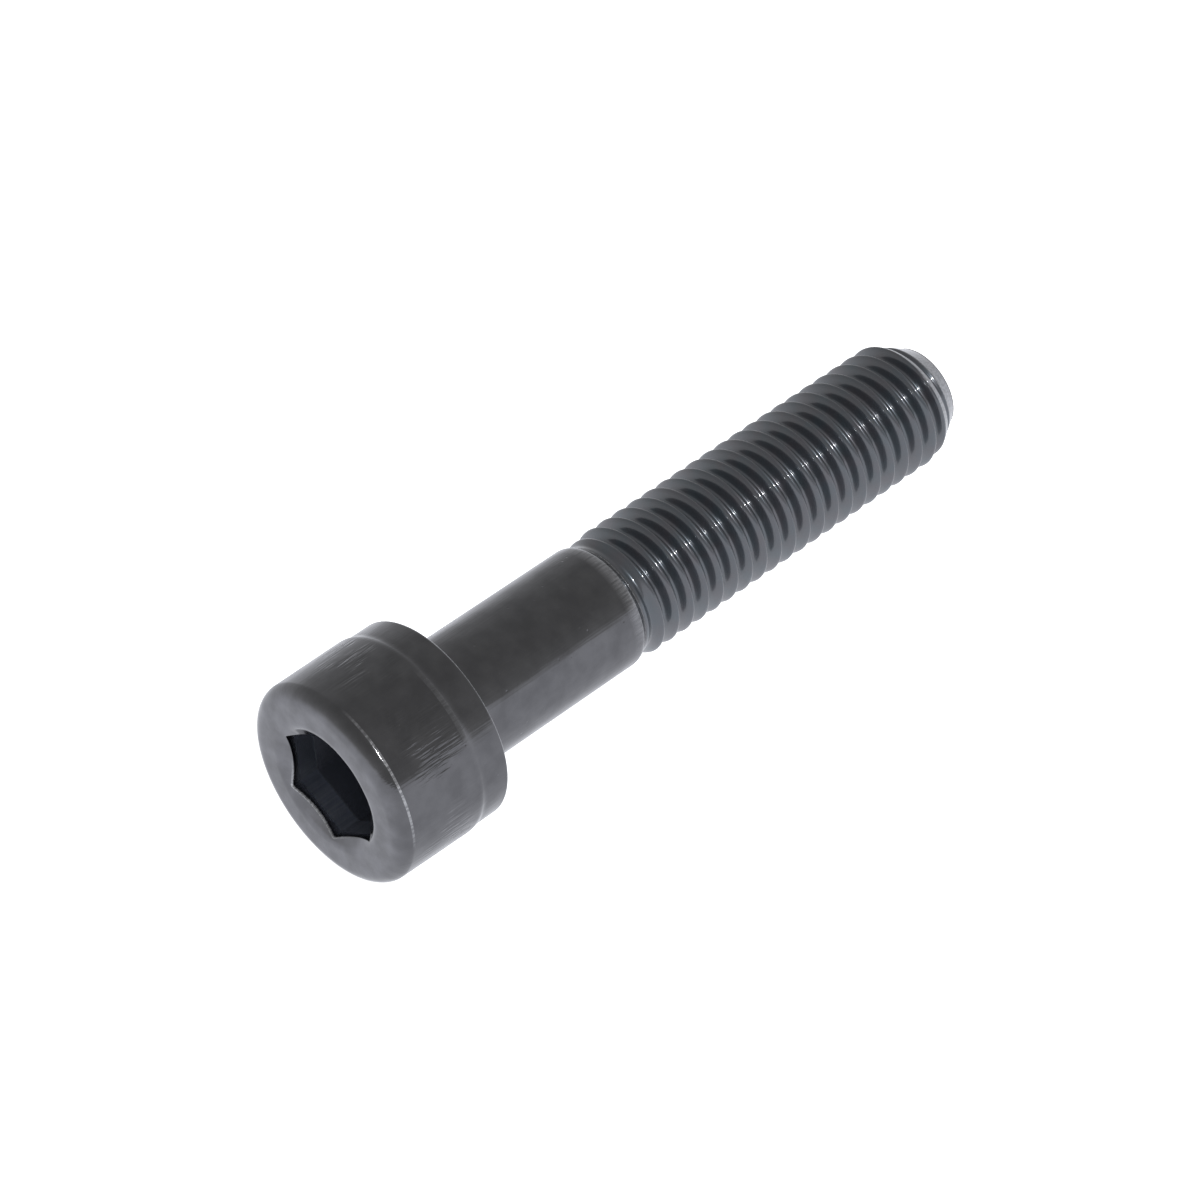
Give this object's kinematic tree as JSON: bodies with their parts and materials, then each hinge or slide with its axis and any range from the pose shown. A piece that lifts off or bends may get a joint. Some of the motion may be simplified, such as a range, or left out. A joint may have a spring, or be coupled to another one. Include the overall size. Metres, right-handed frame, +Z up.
{
  "type": "socket head cap screw",
  "caption": "Steel machine screw with a tall cylindrical head, hexagonal socket, plain shank and partly threaded end with a bevelled point.",
  "frame": {"origin": "centre of the bounding box's bottom, on the surface that the lying screw touches", "axes": "+X toward the point, along the screw's length; +Y across it; +Z up. The screw's own axis lies in the XZ plane and dips 3.5 degrees toward the point, because it rests on its head and on its thread"},
  "size_m": [0.0606, 0.016, 0.0163],
  "materials": {
    "black_steel": "thin black oxide over forged and rolled steel, oiled, satin on the head and glossier on the thread"
  },
  "bodies": {
    "root": {"cap_screw": "black_steel"}
  },
  "joints": []
}
